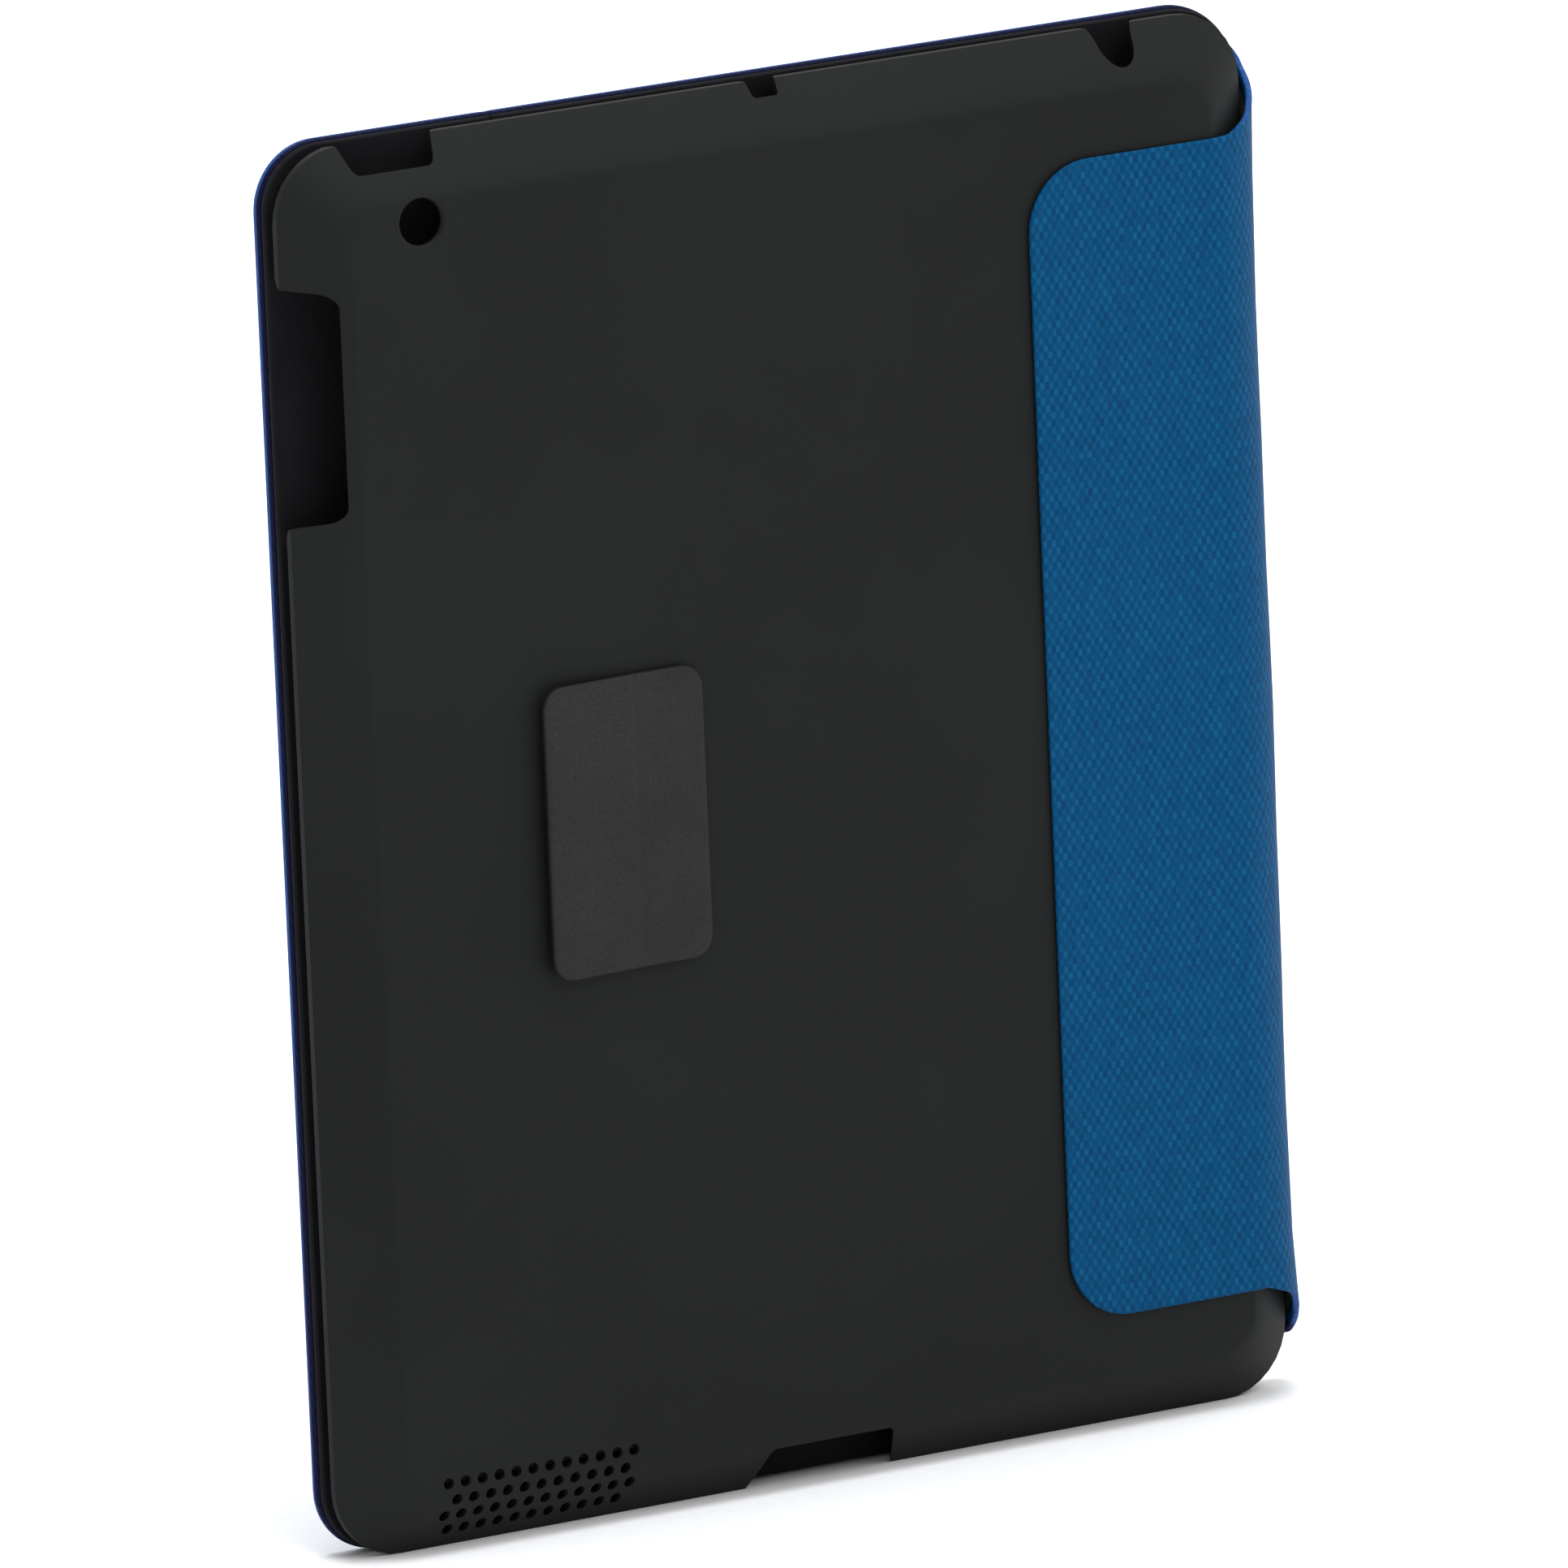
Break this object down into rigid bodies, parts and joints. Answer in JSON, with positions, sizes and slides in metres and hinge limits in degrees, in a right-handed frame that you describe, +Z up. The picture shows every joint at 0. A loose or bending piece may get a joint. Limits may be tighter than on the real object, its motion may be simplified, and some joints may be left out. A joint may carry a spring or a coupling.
{
  "type": "tablet case",
  "caption": "Folio case: a hard shell with a curved border, a canvas cover on a loose rolled spine that folds back, and a stand tab.",
  "frame": {"origin": "middle of the overall box's footprint, at the bottom edge that the closed case stands on", "axes": "+Z up the long side, front cover towards -Y, the shell's flat back towards +Y, spine at -X and the cover's free edge at +X"},
  "size_m": [0.192, 0.0176, 0.2447],
  "materials": {
    "shell_plastic": "matte",
    "canvas": "satin",
    "lining": "matte",
    "board": "matte",
    "film": "satin",
    "tab_leather": "matte",
    "magnet": "satin"
  },
  "bodies": {
    "shell": {"shell": "shell_plastic", "shell_lining": "lining", "strip_canvas": "canvas", "strip_film": "film", "strip_liner": "lining", "tab_base": "tab_leather", "tab_film": "film"},
    "spine": {"spine_canvas": "canvas", "spine_liner": "lining"},
    "cover": {"cover_canvas": "canvas", "cover_board": "board", "cover_pad": "lining", "cover_liner": "lining"},
    "edge": {"edge_canvas": "canvas", "edge_board": "board", "edge_pad": "lining", "closure_magnets": "magnet", "wake_magnet": "magnet"},
    "flap": {"tab_flap": "tab_leather", "tab_flap_skin": "lining"}
  },
  "joints": [
    {"name": "spine_back_hinge", "type": "hinge", "parent": "shell", "child": "spine", "pos_m": [-0.09219, 0.00312, 0.1221], "axis": [0, 0, -1], "range_deg": [0, 165]},
    {"name": "spine_front_hinge", "type": "hinge", "parent": "spine", "child": "cover", "pos_m": [-0.09536, -0.00809, 0.12235], "axis": [0, 0, -1], "range_deg": [0, 175]},
    {"name": "cover_fold", "type": "hinge", "parent": "cover", "child": "edge", "pos_m": [0.05117, -0.0088, 0.12235], "axis": [0, 0, -1], "range_deg": [0, 110]},
    {"name": "tab_hinge", "type": "hinge", "parent": "shell", "child": "flap", "pos_m": [0.03578, 0.00765, 0.1221], "axis": [0, 0, 1], "range_deg": [-3, 30], "stiffness_Nm_per_rad": 0.01}
  ]
}
